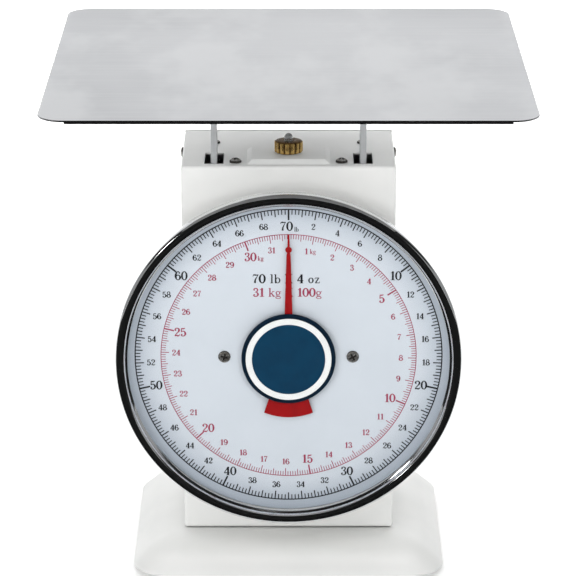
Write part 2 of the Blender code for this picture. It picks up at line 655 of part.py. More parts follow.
def build_springs():
    """Two extension springs, each hooked on a cross pin above and below."""
    for side, label in ((-1, "left"), (1, "right")):
        curve = bpy.data.curves.new(f"spring_{label}", "CURVE")
        curve.dimensions = "3D"
        curve.bevel_depth = SPRING_WIRE * MM
        curve.bevel_resolution = 2
        curve.use_fill_caps = True
        spline = curve.splines.new("POLY")
        path = coil_points()
        spline.points.add(len(path) - 1)
        for point, co in zip(spline.points, path):
            point.co = (*[c * MM for c in co], 1.0)
        add_object(f"spring_{label}", curve, SPRING_STEEL, None, (side * SPRING_X, MECH_Y, 0))


def build_adjuster():
    """Spring hanger on a threaded stud that the brass thumb nut raises or lowers."""
    web = SPRING_TOP_PIN + 9.0
    half_x = SPRING_X + 8.0
    hanger = box("spring_hanger", (-half_x, MECH_Y - 11, web), (half_x, MECH_Y + 11, web + 3), STEEL)
    for sy in (-1, 1):
        y = MECH_Y + sy * 10
        join(hanger, box(f"hanger_flange_{sy}", (-half_x + 0.1, y - 0.9, SPRING_TOP_PIN - 5),
                         (half_x - 0.1, y + 0.9, web + 2.9)))
    for side in (-1, 1):
        join(hanger, rod(f"hanger_pin_{side}", (side * SPRING_X, MECH_Y - 10, SPRING_TOP_PIN), 20.0, 1.5,
                         "Y", None, 12))
    cut(hanger, rod("hanger_stud_hole", (0, MECH_Y, web - 5), 20.0, STUD_RADIUS + 0.2))
    stud = [(0.0, STUD_TOP), (1.6, STUD_TOP - 0.5), (2.8, STUD_TOP - 1.7), (STUD_RADIUS, STUD_TOP - 3.4),
            (STUD_RADIUS, web - GAP), (5.5, web - GAP), (5.5, web - 4.5), (0.0, web - 4.5)]
    turned("adjuster_stud", stud, STEEL, (0, MECH_Y, 0), steps=20)

    lobes = 16
    per_lobe = 4
    outline = []
    for i in range(lobes * per_lobe):
        angle = 2 * math.pi * i / (lobes * per_lobe)
        wave = math.cos(lobes * angle)
        outline.append(((NUT_RADIUS - 0.45 + 0.45 * wave) * math.cos(angle),
                        (NUT_RADIUS - 0.45 + 0.45 * wave) * math.sin(angle)))
    seat = BODY_TOP + PAD_HEIGHT + GAP
    flat_outline("thumb_nut", [outline, circle(STUD_RADIUS + 0.15, 20)], NUT_HEIGHT, BRASS,
                 (0, MECH_Y, seat + NUT_HEIGHT / 2))


# ---------------------------------------------------------------- tray

def build_tray():
    """A square sheet with rounded corners; each straight side is folded down into a hem."""
    half = TRAY_SIZE / 2
    outline = rounded_rectangle(TRAY_SIZE, TRAY_SIZE, TRAY_CORNER, 6)
    sheet = flat_outline("tray", [outline], TRAY_SHEET, STAINLESS, (0, 0, TRAY_TOP - TRAY_SHEET / 2))
    tray = as_mesh(sheet, STAINLESS)
    run, low, high = half - HEM_END, TRAY_TOP - TRAY_HEM, TRAY_TOP - 0.4
    edge, fold = half - 0.1, half - 1.6
    join(tray, box("hem_front", (-run, -edge, low), (run, -fold, high)),
         box("hem_rear", (-run, fold, low), (run, edge, high)),
         box("hem_left", (-edge, -run, low), (-fold, run, high)),
         box("hem_right", (fold, -run, low), (edge, run, high)))


build_base()
build_casing()
build_dial()
build_pointer()
build_chassis()
build_levers()
build_carriage()
build_springs()
build_adjuster()
build_tray()
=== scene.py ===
"""Looks of the mechanical dial platform scale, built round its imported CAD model.

Sizes in this file are millimetres and become metres when a mesh is made. Shapes on the dial are
drawn in its own plane: x to the right, y up, and heights are distances towards the reader.
"""
import math

import bmesh
import bpy
from mathutils import Matrix, Vector


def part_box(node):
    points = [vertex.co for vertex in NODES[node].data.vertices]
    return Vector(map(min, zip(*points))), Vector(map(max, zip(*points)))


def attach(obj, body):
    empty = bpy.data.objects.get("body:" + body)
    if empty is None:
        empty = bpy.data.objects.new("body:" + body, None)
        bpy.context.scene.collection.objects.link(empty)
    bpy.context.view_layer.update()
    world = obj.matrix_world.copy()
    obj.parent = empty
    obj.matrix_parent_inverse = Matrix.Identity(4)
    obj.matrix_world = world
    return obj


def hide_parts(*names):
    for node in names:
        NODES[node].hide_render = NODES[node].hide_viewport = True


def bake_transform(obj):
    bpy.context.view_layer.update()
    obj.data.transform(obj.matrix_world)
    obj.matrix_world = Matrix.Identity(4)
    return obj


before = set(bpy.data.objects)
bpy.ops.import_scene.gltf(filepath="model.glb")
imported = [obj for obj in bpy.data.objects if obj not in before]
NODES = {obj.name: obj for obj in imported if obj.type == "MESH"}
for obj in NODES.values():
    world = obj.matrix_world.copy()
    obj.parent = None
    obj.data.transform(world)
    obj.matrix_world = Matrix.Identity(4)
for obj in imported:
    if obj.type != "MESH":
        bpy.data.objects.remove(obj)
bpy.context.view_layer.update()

MM = 0.001
DIAL_Z = sum(corner[2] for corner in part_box("bezel_ring")) / 2 / MM
DIAL_FACE = 85.2                            # printed face of the dial plate
MECH_Y = -28.0                              # plane of the springs and the adjuster
BODY_TOP = 302.0
STRAP_X = 53.5
SIDES = ((-1, "left"), (1, "right"))
DIAL_SCREW_X = 46.0
SCREW_HOLE = 2.3                            # radius of the screw holes in the sheets
RED_TURN = 31.7515                          # kilograms in one turn of the pointer
BLACK_TURN = 70.0                           # pounds in one turn

FLAT = Matrix.Diagonal((MM, MM, MM, 1.0))
DIAL = FLAT @ Matrix(((1, 0, 0, 0), (0, 0, -1, 0), (0, 1, 0, DIAL_Z), (0, 0, 0, 1)))


def millimetres(node):
    """Lowest and highest corner of a CAD node."""
    return tuple([c / MM for c in corner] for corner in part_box(node))


def middle_of(node):
    low, high = millimetres(node)
    return [(a + b) / 2 for a, b in zip(low, high)]


# ---------------------------------------------------------------- materials

def new_paint(name, color, roughness, metallic=0.0, **sockets):
    material = bpy.data.materials.new(name)
    material.use_nodes = True
    shader = material.node_tree.nodes["Principled BSDF"]
    values = {"Base Color": (*color, 1.0), "Roughness": roughness, "Metallic": metallic}
    values.update({key.replace("_", " "): value for key, value in sockets.items()})
    for socket, value in values.items():
        shader.inputs[socket].default_value = value
    return material


def add_node(tree, kind, links=None, values=None, **settings):
    """A shader node with some inputs linked and some set."""
    node = tree.nodes.new("ShaderNode" + kind)
    for key, value in settings.items():
        setattr(node, key, value)
    for key, value in (values or {}).items():
        node.inputs[key].default_value = value
    for key, socket in (links or {}).items():
        tree.links.new(socket, node.inputs[key])
    return node


def noise_of(tree, scale, stretch=(1, 1, 1), detail=3.0, rough=0.55):
    """Noise in the piece's own coordinates; scale is in features per metre."""
    coord = add_node(tree, "TexCoord")
    mapped = add_node(tree, "Mapping", {"Vector": coord.outputs["Object"]}, {"Scale": stretch})
    noise = add_node(tree, "TexNoise", {"Vector": mapped.outputs[0]},
                     {"Scale": scale, "Detail": detail, "Roughness": rough})
    return noise.outputs[0]


def smooth_range(tree, value, low, high, **ends):
    """Smooth passage from one end value to the other as the value goes from low to high."""
    return add_node(tree, "MapRange", {"Value": value},
                    {"From Min": low, "From Max": high,
                     **{key.replace("_", " "): end for key, end in ends.items()}},
                    interpolation_type="SMOOTHSTEP").outputs[0]


def shift_color(material, mask, color, low, high):
    """Blend the colour so far towards another one where the mask passes from low to high."""
    tree = material.node_tree
    base = tree.nodes["Principled BSDF"].inputs["Base Color"]
    mix = add_node(tree, "Mix", {0: smooth_range(tree, mask, low, high)},
                   {6: base.default_value, 7: (*color, 1.0)}, data_type="RGBA")
    if base.is_linked:
        tree.links.new(base.links[0].from_socket, mix.inputs[6])
    tree.links.new(mix.outputs[2], base)


def vary_roughness(material, mask, low, high):
    tree = material.node_tree
    amount = add_node(tree, "MapRange", {"Value": mask},
                      {"From Min": 0.3, "From Max": 0.7, "To Min": low, "To Max": high})
    tree.links.new(amount.outputs[0], tree.nodes["Principled BSDF"].inputs["Roughness"])


def add_bump(material, mask, height):
    """Relief of the given height in millimetres, on top of any relief already there."""
    tree = material.node_tree
    normal = tree.nodes["Principled BSDF"].inputs["Normal"]
    links = {"Height": mask}
    if normal.is_linked:
        links["Normal"] = normal.links[0].from_socket
    bump = add_node(tree, "Bump", links, {"Distance": height * MM, "Strength": 1.0})
    tree.links.new(bump.outputs[0], normal)


def distance_from(tree, centre, axes):
    """Distance from a point in millimetres, measured along the axes given as a (x, y, z) mask."""
    coord = add_node(tree, "TexCoord")
    moved = add_node(tree, "VectorMath", {0: coord.outputs["Object"]},
                     {1: [c * MM for c in centre]}, operation="SUBTRACT")
    masked = add_node(tree, "VectorMath", {0: moved.outputs[0]}, {1: axes}, operation="MULTIPLY")
    return add_node(tree, "VectorMath", {0: masked.outputs[0]}, operation="LENGTH").outputs["Value"]


def speckled(name, color, other, roughness, metallic=0.0, scale=60, spread=0.1, relief=0.01, fine=900,
             **sockets):
    """The common finish: two close tones in soft patches, uneven gloss and a fine relief."""
    material = new_paint(name, color, roughness, metallic, **sockets)
    tree = material.node_tree
    patches = noise_of(tree, scale)
    shift_color(material, patches, other, 0.35, 0.75)
    vary_roughness(material, patches, roughness - spread / 2, roughness + spread / 2)
    if relief:
        add_bump(material, noise_of(tree, fine), relief)
    return material


def make_materials():
    paints = {}

    def keep(key, material):
        paints[key] = material
        return material

    enamel = keep("enamel", speckled("white_enamel", (0.85, 0.85, 0.835), (0.82, 0.825, 0.81), 0.38,
                                     scale=22, spread=0.08, relief=0.012, fine=420))
    add_bump(enamel, noise_of(enamel.node_tree, 14), 0.02)
    keep("strap", speckled("strap_enamel", (0.43, 0.44, 0.45), (0.38, 0.39, 0.40), 0.30, scale=60,
                           spread=0.1, relief=0.012, fine=500))

    steel = keep("tray", speckled("brushed_tray", (0.775, 0.78, 0.795), (0.725, 0.73, 0.745), 0.36, 1.0,
                                  scale=5, spread=0.07, relief=0.0))
    tree = steel.node_tree
    shift_color(steel, noise_of(tree, 9, (1.0, 28.0, 1.0), 5.0, 0.7), (0.80, 0.805, 0.815), 0.40, 0.80)
    shift_color(steel, noise_of(tree, 6, (1.6, 0.8, 1.0), 4.0, 0.6), (0.85, 0.855, 0.865), 0.44, 0.62)
    add_bump(steel, noise_of(tree, 26, (1.0, 60.0, 60.0), 4.0, 0.7), 0.005)
    add_bump(steel, noise_of(tree, 7, (1.0, 1.4, 1.0), 2.0), 0.05)

    # The tray's underside is painted near-white and matt: painted bounce light, standing for the steel's
    # reflection of the bright floor onto the casing top.
    keep("tray_under", speckled("tray_underside_painted_bounce", (0.86, 0.865, 0.87), (0.80, 0.805, 0.81), 0.5, 0.1,
                                scale=12))
    # The folded edges take a darker copy of the tray's steel: painted dark reflection along the hem.
    keep("tray_edge_painted_dark", speckled("tray_edge_painted_dark", (0.42, 0.42, 0.43), (0.34, 0.34, 0.35), 0.16, 1.0, scale=90,
                               spread=0.06, relief=0.004))
    chrome = keep("chrome", speckled("bezel_chrome", (0.74, 0.75, 0.755), (0.66, 0.67, 0.68), 0.075, 1.0,
                                     scale=40, spread=0.04, relief=0.0))
    add_bump(chrome, noise_of(chrome.node_tree, 30), 0.015)
    keep("lens", new_paint("clear_lens", (1.0, 1.0, 1.0), 0.0, IOR=1.45, Transmission_Weight=1.0))

    dial = keep("dial", speckled("dial_enamel", (0.615, 0.665, 0.72), (0.595, 0.645, 0.70), 0.42,
                                 scale=30, spread=0.08, relief=0.006, fine=1500))
    # The dial darkens smoothly from 90 mm out to its rim: painted shade of the recess under the drum and
    # bezel.
    rim = distance_from(dial.node_tree, (0, 0, DIAL_Z), (1, 0, 1))
    shift_color(dial, rim, (0.45, 0.505, 0.575), 0.090, 0.118)
    keep("ink_black", speckled("ink_black", (0.006, 0.008, 0.012), (0.012, 0.014, 0.018), 0.5, scale=300,
                               relief=0.0))
    keep("ink_red", speckled("ink_red", (0.36, 0.030, 0.085), (0.31, 0.025, 0.070), 0.5, scale=300,
                             relief=0.0))
    keep("pointer", speckled("pointer_red", (0.33, 0.0006, 0.0025), (0.27, 0.0005, 0.002), 0.35, scale=120,
                             relief=0.004, Specular_IOR_Level=0.25))
    keep("hub_blue", speckled("hub_blue", (0.0002, 0.040, 0.092), (0.0002, 0.035, 0.083), 0.45, scale=90,
                              relief=0.006, fine=1200, Specular_IOR_Level=0.18))
    keep("hub_navy", speckled("hub_navy", (0.0004, 0.012, 0.030), (0.0003, 0.010, 0.025), 0.45, scale=90,
                              relief=0.006, fine=1200, Specular_IOR_Level=0.18))
    keep("hub_white", speckled("hub_white", (0.84, 0.85, 0.84), (0.79, 0.80, 0.79), 0.34, scale=90,
                               relief=0.006, fine=1200))

    brass = keep("brass", speckled("aged_brass_painted_light", (0.24, 0.125, 0.032), (0.08, 0.038, 0.010), 0.22, 0.85,
                                   scale=260, spread=0.16, relief=0.02, fine=1600))
    # Dark brown in the flutes and bright gold on the crests: patina in the flutes together with painted
    # shade there, and a painted highlight along each crest.
    flute_shade_crest_highlight = distance_from(brass.node_tree, (0, MECH_Y, 0), (1, 1, 0))
    shift_color(brass, flute_shade_crest_highlight, (0.78, 0.52, 0.18), 0.0094, 0.0103)
    keep("gear_brass", speckled("gear_brass", (0.62, 0.42, 0.15), (0.50, 0.31, 0.09), 0.32, 1.0, scale=200,
                                relief=0.01))
    keep("steel", speckled("zinc_steel", (0.55, 0.56, 0.57), (0.44, 0.45, 0.45), 0.34, 1.0, scale=90,
                           spread=0.16, relief=0.012, fine=800))
    keep("screw", speckled("screw_steel", (0.66, 0.66, 0.64), (0.34, 0.31, 0.27), 0.27, 0.84, scale=420,
                           spread=0.16, relief=0.02, fine=1500))
    # Near-black second screw paint: painted shade for the cross recesses and the rims of the heads.
    keep("screw_painted_shade", speckled("screw_recess_painted_shade", (0.035, 0.033, 0.030), (0.060, 0.055, 0.050), 0.5, 0.4,
                                scale=420, relief=0.01))
    keep("stud", speckled("stud_steel", (0.62, 0.63, 0.63), (0.42, 0.42, 0.41), 0.20, 0.8, scale=380,
                          spread=0.1, relief=0.01, fine=1500))
    keep("spring", speckled("spring_steel", (0.30, 0.30, 0.31), (0.20, 0.20, 0.21), 0.34, 1.0, scale=300,
                            relief=0.01))
    keep("rubber", speckled("black_rubber", (0.020, 0.020, 0.021), (0.032, 0.032, 0.034), 0.78, scale=120,
                            spread=0.12, relief=0.04, fine=1300))
    return paints


PAINT = make_materials()


# ---------------------------------------------------------------- meshes

def make_piece(name, bm, paints, body, replaces=(), angle=35):
    """Turn a bmesh in world metres into a piece that rides on a body."""
    bmesh.ops.recalc_face_normals(bm, faces=bm.faces)
    mesh = bpy.data.meshes.new(name)
    bm.to_mesh(mesh)
    bm.free()
    for key in paints:
        mesh.materials.append(PAINT[key])
    mesh.shade_smooth()
    mesh.set_sharp_from_angle(angle=math.radians(angle))
    obj = bpy.data.objects.new(name, mesh)
    bpy.context.scene.collection.objects.link(obj)
    if body:
        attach(obj, body)
    if replaces:
        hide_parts(*replaces)
    return obj


def soften(obj, width, segments=2, weld=False):
    """Round an object's sharp edges; a carried-over CAD node is welded first."""
    if weld:
        obj.modifiers.new("Weld", "WELD").merge_threshold = 0.005 * MM
    bevel = obj.modifiers.new("Bevel", "BEVEL")
    bevel.width = width * MM
    bevel.segments = segments
    bevel.limit_method = "ANGLE"
    bevel.angle_limit = math.radians(40)
    return obj


def lathe(bm, profile, place, steps=96, closed=False, tones=None):
    """Turn (radius, height) points about the local Z axis. A closed profile makes a ring."""
    turn = 2 * math.pi / steps
    rings = []
    for radius, height in profile:
        count = 1 if radius < 0.001 else steps
        points = [(radius * math.cos(k * turn), radius * math.sin(k * turn), height) for k in range(count)]
        rings.append([bm.verts.new(place @ Vector(point)) for point in points])
    following = rings[1:] + (rings[:1] if closed else [])
    for index, (a, b) in enumerate(zip(rings, following)):
        for k in range(steps):
            n = (k + 1) % steps
            corners = dict.fromkeys((a[k % len(a)], a[n % len(a)], b[n % len(b)], b[k % len(b)]))
            if len(corners) > 2:
                face = bm.faces.new(list(corners))
                face.material_index = tones[index] if tones else 0


def prism(bm, outline, low, high, place):
    """A closed plate cut to an outline."""
    bottom = [bm.verts.new(place @ Vector((x, y, low))) for x, y in outline]
    top = [bm.verts.new(place @ Vector((x, y, high))) for x, y in outline]
    bm.faces.new(bottom[::-1])
    bm.faces.new(top)
    for i, j in zip(range(len(outline)), [*range(1, len(outline)), 0]):
        bm.faces.new((bottom[i], bottom[j], top[j], top[i]))


def strip(bm, left, right, low, high, place, closed=False):
    """A closed flat band between two rows of points."""
    rows = [[bm.verts.new(place @ Vector(p)) for p in ((*a, low), (*b, low), (*b, high), (*a, high))]
            for a, b in zip(left, right)]
    for a, b in zip(rows, rows[1:] + (rows[:1] if closed else [])):
        for i in range(4):
            j = (i + 1) % 4
            bm.faces.new((a[i], a[j], b[j], b[i]))
    if not closed:
        bm.faces.new(rows[0][::-1])
        bm.faces.new(rows[-1])


def rounded_rectangle(width, depth, radius, arc_steps=12):
    points = []
    for sx, sy, start in ((1, 1, 0), (-1, 1, 90), (-1, -1, 180), (1, -1, 270)):
        cx, cy = sx * (width / 2 - radius), sy * (depth / 2 - radius)
        for step in range(arc_steps + 1):
            angle = math.radians(start + 90.0 * step / arc_steps)
            points.append((cx + radius * math.cos(angle), cy + radius * math.sin(angle)))
    return points


def curve_through(points, steps, closed=False):
    """Catmull-Rom curve through points of any size."""
    if len(points) < 3:
        return [tuple(p) for p in points]
    count = len(points)
    spans = count if closed else count - 1
    result = []
    for i in range(spans):
        four = [points[(i + k) % count] if closed else points[min(max(i + k, 0), count - 1)]
                for k in (-1, 0, 1, 2)]
        for step in range(steps):
            t = step / steps
            result.append(tuple(0.5 * (2 * b + (c - a) * t + (2 * a - 5 * b + 4 * c - d) * t * t
                                       + (3 * b - a - 3 * c + d) * t ** 3) for a, b, c, d in zip(*four)))
    if not closed:
        result.append(tuple(points[-1]))
    return result


def loft(bm, loops, ring=False, tone=0, last_tone=0):
    """Skin over closed outlines of equal length, given as lists of world points."""
    rows = [[bm.verts.new(p) for p in loop] for loop in loops]
    for a, b in zip(rows, rows[1:] + (rows[:1] if ring else [])):
        for i in range(len(a)):
            j = (i + 1) % len(a)
            bm.faces.new((a[i], a[j], b[j], b[i])).material_index = tone
    if not ring:
        bm.faces.new(rows[0])
        bm.faces.new(rows[-1][::-1]).material_index = last_tone


def loose_body(bm):
    """An object made only to be cut or to cut; carve uses it up."""
    mesh = bpy.data.meshes.new("loose_body")
    bm.to_mesh(mesh)
    bm.free()
    obj = bpy.data.objects.new("loose_body", mesh)
    bpy.context.scene.collection.objects.link(obj)
    return obj


def block(low, high, bevel=0.0, segments=3, lean=0.0):
    """A loose box used to build another mesh by boolean operations. Lean draws in its top."""
    bm = bmesh.new()
    bmesh.ops.create_cube(bm, size=2.0)
    for vert in bm.verts:
        inset = lean if vert.co.z > 0 else 0.0
        vert.co = Vector([((a + b) / 2 + c * ((b - a) / 2 - (inset if k < 2 else 0))) * MM
                          for k, (a, b, c) in enumerate(zip(low, high, vert.co))])
    obj = loose_body(bm)
    if bevel:
        made = obj.modifiers.new("Bevel", "BEVEL")
        made.width, made.segments = bevel * MM, segments
    return obj


def cylinder_block(centre, radius, length, axis):
    """A loose round bar along an axis, used as a cutter."""
    spin = {"X": Matrix.Rotation(math.pi / 2, 4, "Y"), "Y": Matrix.Rotation(math.pi / 2, 4, "X"),
            "Z": Matrix.Identity(4)}[axis]
    bm = bmesh.new()
    bmesh.ops.create_cone(bm, cap_ends=True, segments=32, radius1=radius * MM, radius2=radius * MM,
                          depth=length * MM, matrix=Matrix.Translation(Vector(centre) * MM) @ spin)
    return loose_body(bm)


def carve(obj, joined, cutters):
    """Apply unions and differences to a loose body and return the result as a bmesh."""
    for operation, others in (("UNION", joined), ("DIFFERENCE", cutters)):
        for other in others:
            modifier = obj.modifiers.new(operation, "BOOLEAN")
            modifier.operation, modifier.solver, modifier.object = operation, "EXACT", other
    bpy.context.view_layer.update()
    depsgraph = bpy.context.evaluated_depsgraph_get()
    bm = bmesh.new()
    bm.from_object(obj, depsgraph)
    for item in (obj, *joined, *cutters):
        bpy.data.objects.remove(item, do_unlink=True)
    bmesh.ops.remove_doubles(bm, verts=bm.verts, dist=0.002 * MM)
    return bm


def axis_place(point, direction):
    """Placement in millimetres whose local Z axis points along a direction."""
    turn = Vector((0, 0, 1)).rotation_difference(Vector(direction)).to_matrix().to_4x4()
    return FLAT @ Matrix.Translation(Vector(point)) @ turn


# ---------------------------------------------------------------- screws

def screw_dome(radius, height):
    """Profile of a domed head from its middle down to its seat."""
    return [(radius * math.sin(a), height * (0.2 + 0.8 * math.cos(a)))
            for a in (math.radians(90 * k / 7) for k in range(8))] + [(radius, 0.0)]


def make_screw(node, axis, sign, height, spin):
    """A domed screw with a cross recess, as wide and as long as its CAD node.

    The head points along an axis (0, 1 or 2 for x, y or z) in the direction of sign.
    """
    low, high = millimetres(node)
    across = (axis + 1) % 3
    head, shank, length = (high[across] - low[across]) / 2, 1.8, high[axis] - low[axis] - height
    profile = screw_dome(head, height) + [(shank, 0.0), (shank, -length), (0.0, -length)]
    bm = bmesh.new()
    lathe(bm, profile, FLAT, steps=40)
    bmesh.ops.recalc_face_normals(bm, faces=bm.faces)
    blank = loose_body(bm)
    arm, width, floor = head * 0.60, head * 0.15, height * 0.15
    bm = carve(blank, [], [block((-arm, -width, floor), (arm, width, height + 1.0)),
                           block((-width, -arm, floor), (width, arm, height + 1.0))])
    seat, direction = middle_of(node), [0.0, 0.0, 0.0]
    seat[axis] = high[axis] - height if sign > 0 else low[axis] + height
    direction[axis] = sign
    bm.transform(Matrix.Scale(1 / MM, 4))
    # Faces in the cross recess and on the dome's outer rim take the near-black paint: painted shade in the
    # recess and round the rim of the head.
    for face in bm.faces:
        x, y, z = face.calc_center_median()
        reach = math.hypot(x, y)
        recess = reach < arm * 1.01 and (abs(face.normal.z) < 0.3 or z < floor + 0.05)
        if recess or (reach > head * 0.84 and z > -0.05):
            face.material_index = 1
    bm.transform(axis_place(seat, direction) @ Matrix.Rotation(math.radians(spin), 4, "Z"))
    return make_piece(f"{node}_cross_head", bm, ["screw", "screw_painted_shade"], "housing", [node])


def build_screws():
    for side, label in SIDES:
        make_screw(f"top_front_screw_{label}", 2, 1, 3.0, 12.0 + 30 * side)
        make_screw(f"top_rear_screw_{label}", 2, 1, 2.2, 35.0 * side)
        make_screw(f"side_screw_{label}", 0, side, 2.2, 25.0)
        make_screw(f"dial_screw_{label}", 1, -1, 1.8, 8.0 + 20 * side)
    for index in range(1, 5):
        make_screw(f"rear_cover_screw_{index}", 1, 1, 2.2, 17.0 * index)


# ---------------------------------------------------------------- base, casing, drum

def build_base():
    """Pressed pan with wide slopes that flare to the floor, and the rubber feet below it."""
    low, high = millimetres("base_pan")
    width, depth, foot_edge, top = high[0] - low[0], high[1] - low[1], low[2], high[2]
    sheet = 1.5
    section = curve_through([(36.0, top), (28.0, top - 1.0), (20.0, top - 3.4), (12.5, top - 7.4),
                             (6.5, foot_edge + 6.6), (2.6, foot_edge + 3.0), (0.7, foot_edge + 1.0),
                             (0.0, foot_edge)], 4)

    def ring_at(inset, height, corner):
        outline = rounded_rectangle(width - 2 * inset, depth - 2 * inset, corner - 0.6 * inset, 14)
        return [Vector((x, y, height)) * MM for x, y in outline]

    outer = [ring_at(inset, height, 26.0) for inset, height in section]
    inner = [ring_at(inset + sheet, max(height - (sheet if height > top - 8.0 else 0.0), foot_edge),
                     26.0 - 0.4 * sheet) for inset, height in reversed(section)]
    bm = bmesh.new()
    loft(bm, outer + inner)
    make_piece("base_pan_pressing", bm, ["enamel"], "housing", ["base_pan"])

    for index in range(1, 5):
        node = f"foot_{index}"
        x, y = middle_of(node)[:2]
        top = millimetres(node)[1][2]
        foot = [(0.0, top), (3.2, top), (7.4, top - 1.4), (8.0, top - 1.9), (10.4, top - 5.0),
                (12.9, 2.2), (12.7, 0.9), (11.9, 0.0), (5.0, 0.0), (4.4, 0.9), (0.0, 0.9)]
        bm = bmesh.new()
        lathe(bm, foot, axis_place((x, y, 0.0), (0, 0, 1)), steps=48)
        make_piece(f"rubber_{node}", bm, ["rubber"], "housing", [node])


def build_casing():
    """Folded column with soft bends, strap slots and the raised pressing under the adjuster."""
    low, high = millimetres("body_casing")
    sheet, lean = 1.2, 4.6
    casing = block(low, (high[0], high[1], BODY_TOP), 2.4, 6)
    pad = block((-31.0, -51.4, BODY_TOP - 0.9), (31.0, -8.6, high[2]), 0.6, 3, lean)
    hollow = block((low[0] + sheet, low[1] + sheet, low[2] - 10),
                   (high[0] - sheet, high[1] + 10, BODY_TOP - sheet), 1.6, 4)
    pad_hollow = block((-29.3, -49.8, BODY_TOP - 6), (29.3, -10.2, high[2] - sheet), lean=lean)
    cutters = [hollow, pad_hollow, cylinder_block((0, low[1], DIAL_Z), 12.0, 12.0, "Y"),
               cylinder_block((0, MECH_Y, BODY_TOP), 3.7, 20.0, "Z")]
    for side, label in SIDES:
        cutters += [block((side * STRAP_X - 6.9, -48.5, BODY_TOP - 5),
                          (side * STRAP_X + 6.9, -19.0, BODY_TOP + 5)),
                    cylinder_block(middle_of(f"top_front_screw_{label}"), SCREW_HOLE, 10.0, "Z"),
                    cylinder_block(middle_of(f"top_rear_screw_{label}"), SCREW_HOLE, 10.0, "Z"),
                    cylinder_block(middle_of(f"side_screw_{label}"), SCREW_HOLE, 10.0, "X")]
    shell = make_piece("column_casing", carve(casing, [pad], cutters), ["enamel"], "housing",
                       ["body_casing"], 28)
    soften(shell, 0.25, 2)

    low, high = millimetres("rear_cover")
    cover = block(low, high, 0.45, 3)
    holes = [cylinder_block(middle_of(f"rear_cover_screw_{index}"), SCREW_HOLE, 10.0, "Y")
             for index in range(1, 5)]
    make_piece("rear_cover_sheet", carve(cover, [], holes), ["enamel"], "housing",
               ["rear_cover"])


def build_drum():
    """White drum that narrows behind the dial, and the bezel, lens and seal on its front."""
    back, shoulder, front, outer, rear, wall = 56.3, 82.0, 92.0, 119.0, 108.0, 1.2
    outside = curve_through([(outer, front), (outer, shoulder + 1.5), (outer - 0.5, shoulder - 0.6),
                             (rear + 1.6, back + 4.6), (rear - 0.2, back + 1.4), (rear - 2.6, back)], 5)
    inside = [(max(r - wall, 13.5), h + (wall if r < rear - 1.0 else 0.25)) for r, h in reversed(outside)]
    profile = outside + [(13.0, back), (13.0, back + wall)] + inside
    bm = bmesh.new()
    lathe(bm, profile, DIAL, 160, closed=True)
    make_piece("dial_drum", bm, ["enamel"], "housing", ["dial_housing"])

    bezel_low = -millimetres("bezel_ring")[1][1]
    rise, seat, edge, half, flat, sheet = 4.9, 95.6, 124.0, 3.7, 0.80, 0.9

    def roll(inset):
        section = []
        for a in (math.radians(5 * k) for k in range(37)):
            across = math.copysign(abs(math.cos(a)) ** flat, -math.cos(a))
            section.append((edge - half + (half - inset) * across, seat + 1.3 + (rise - 1.3 - inset)
                            * math.sin(a) ** flat))
        return section

    lip = [(edge - 2 * half - 1.5, seat - 0.2), (edge - 2 * half - 1.5, seat + 0.1),
           (edge - 2 * half - 0.35, seat + 1.1)]
    turned_in = [(edge - 2 * half + 0.9, seat + 0.9), (edge - 2 * half - 0.2, seat + 0.1),
                 (edge - 2 * half - 1.0, seat - 0.2)]
    skirt = [(edge, bezel_low + 0.4), (edge - 0.2, bezel_low), (edge - 0.7, bezel_low),
             (edge - sheet, bezel_low + 0.4)]
    bm = bmesh.new()
    lathe(bm, lip + roll(0.0) + skirt + roll(sheet)[::-1] + turned_in, DIAL, 256, closed=True)
    make_piece("bezel_roll", bm, ["chrome"], "housing", ["bezel_ring"])

    bm = bmesh.new()
    lens_edge, lens_front, lens_back, seal_low, seal_edge = 118.5, 95.2, 93.2, 92.4, 116.3
    lathe(bm, [(0.0, lens_front), (lens_edge - 0.3, lens_front), (lens_edge, lens_front - 0.3),
               (lens_edge, lens_back + 0.3), (lens_edge - 0.3, lens_back), (0.0, lens_back)], DIAL, 160)
    lens = make_piece("lens_pane", bm, ["lens"], "housing", ["dial_lens"])
    lens.visible_shadow = lens.visible_diffuse = lens.visible_glossy = False
    bm = bmesh.new()
    lathe(bm, [(lens_edge, seal_low), (lens_edge, seal_low + 0.4), (lens_edge - 0.2, seal_low + 0.6),
               (seal_edge + 0.2, seal_low + 0.6), (seal_edge, seal_low + 0.4), (seal_edge, seal_low)],
          DIAL, 128, closed=True)
    make_piece("lens_seal", bm, ["rubber"], "housing", ["lens_gasket"])


# ---------------------------------------------------------------- printing on the dial

THIN, STEM, SERIF = 0.050, 0.105, 0.03      # half widths of the pen, as a share of the digit height


def serif(left, right, height):
    return [(left, height, SERIF), (right, height, SERIF)]


def stem(x, half):
    return [(x, 0.0, half), (x, 1.0, half)]


def arc_points(cx, cy, rx, ry, thin=THIN, thick=STEM):
    """Closed oval stroke, thin at its top and bottom and thick at its sides."""
    points, count = [], 12
    for k in range(count):
        a = 2 * math.pi * k / count
        half = thin + (thick - thin) * math.sin(a) ** 2
        points.append((cx + rx * math.sin(a), cy + ry * math.cos(a), half))
    return points


SIX = [(0.44, 0.88, 0.03), (0.34, 0.965, THIN), (0.19, 0.88, 0.06), (0.09, 0.62, STEM), (0.09, 0.32, STEM),
       (0.17, 0.11, 0.06), (0.30, 0.035, THIN), (0.44, 0.12, 0.07), (0.51, 0.31, STEM), (0.44, 0.50, 0.065),
       (0.31, 0.575, THIN), (0.18, 0.52, THIN), (0.10, 0.40, 0.045)]
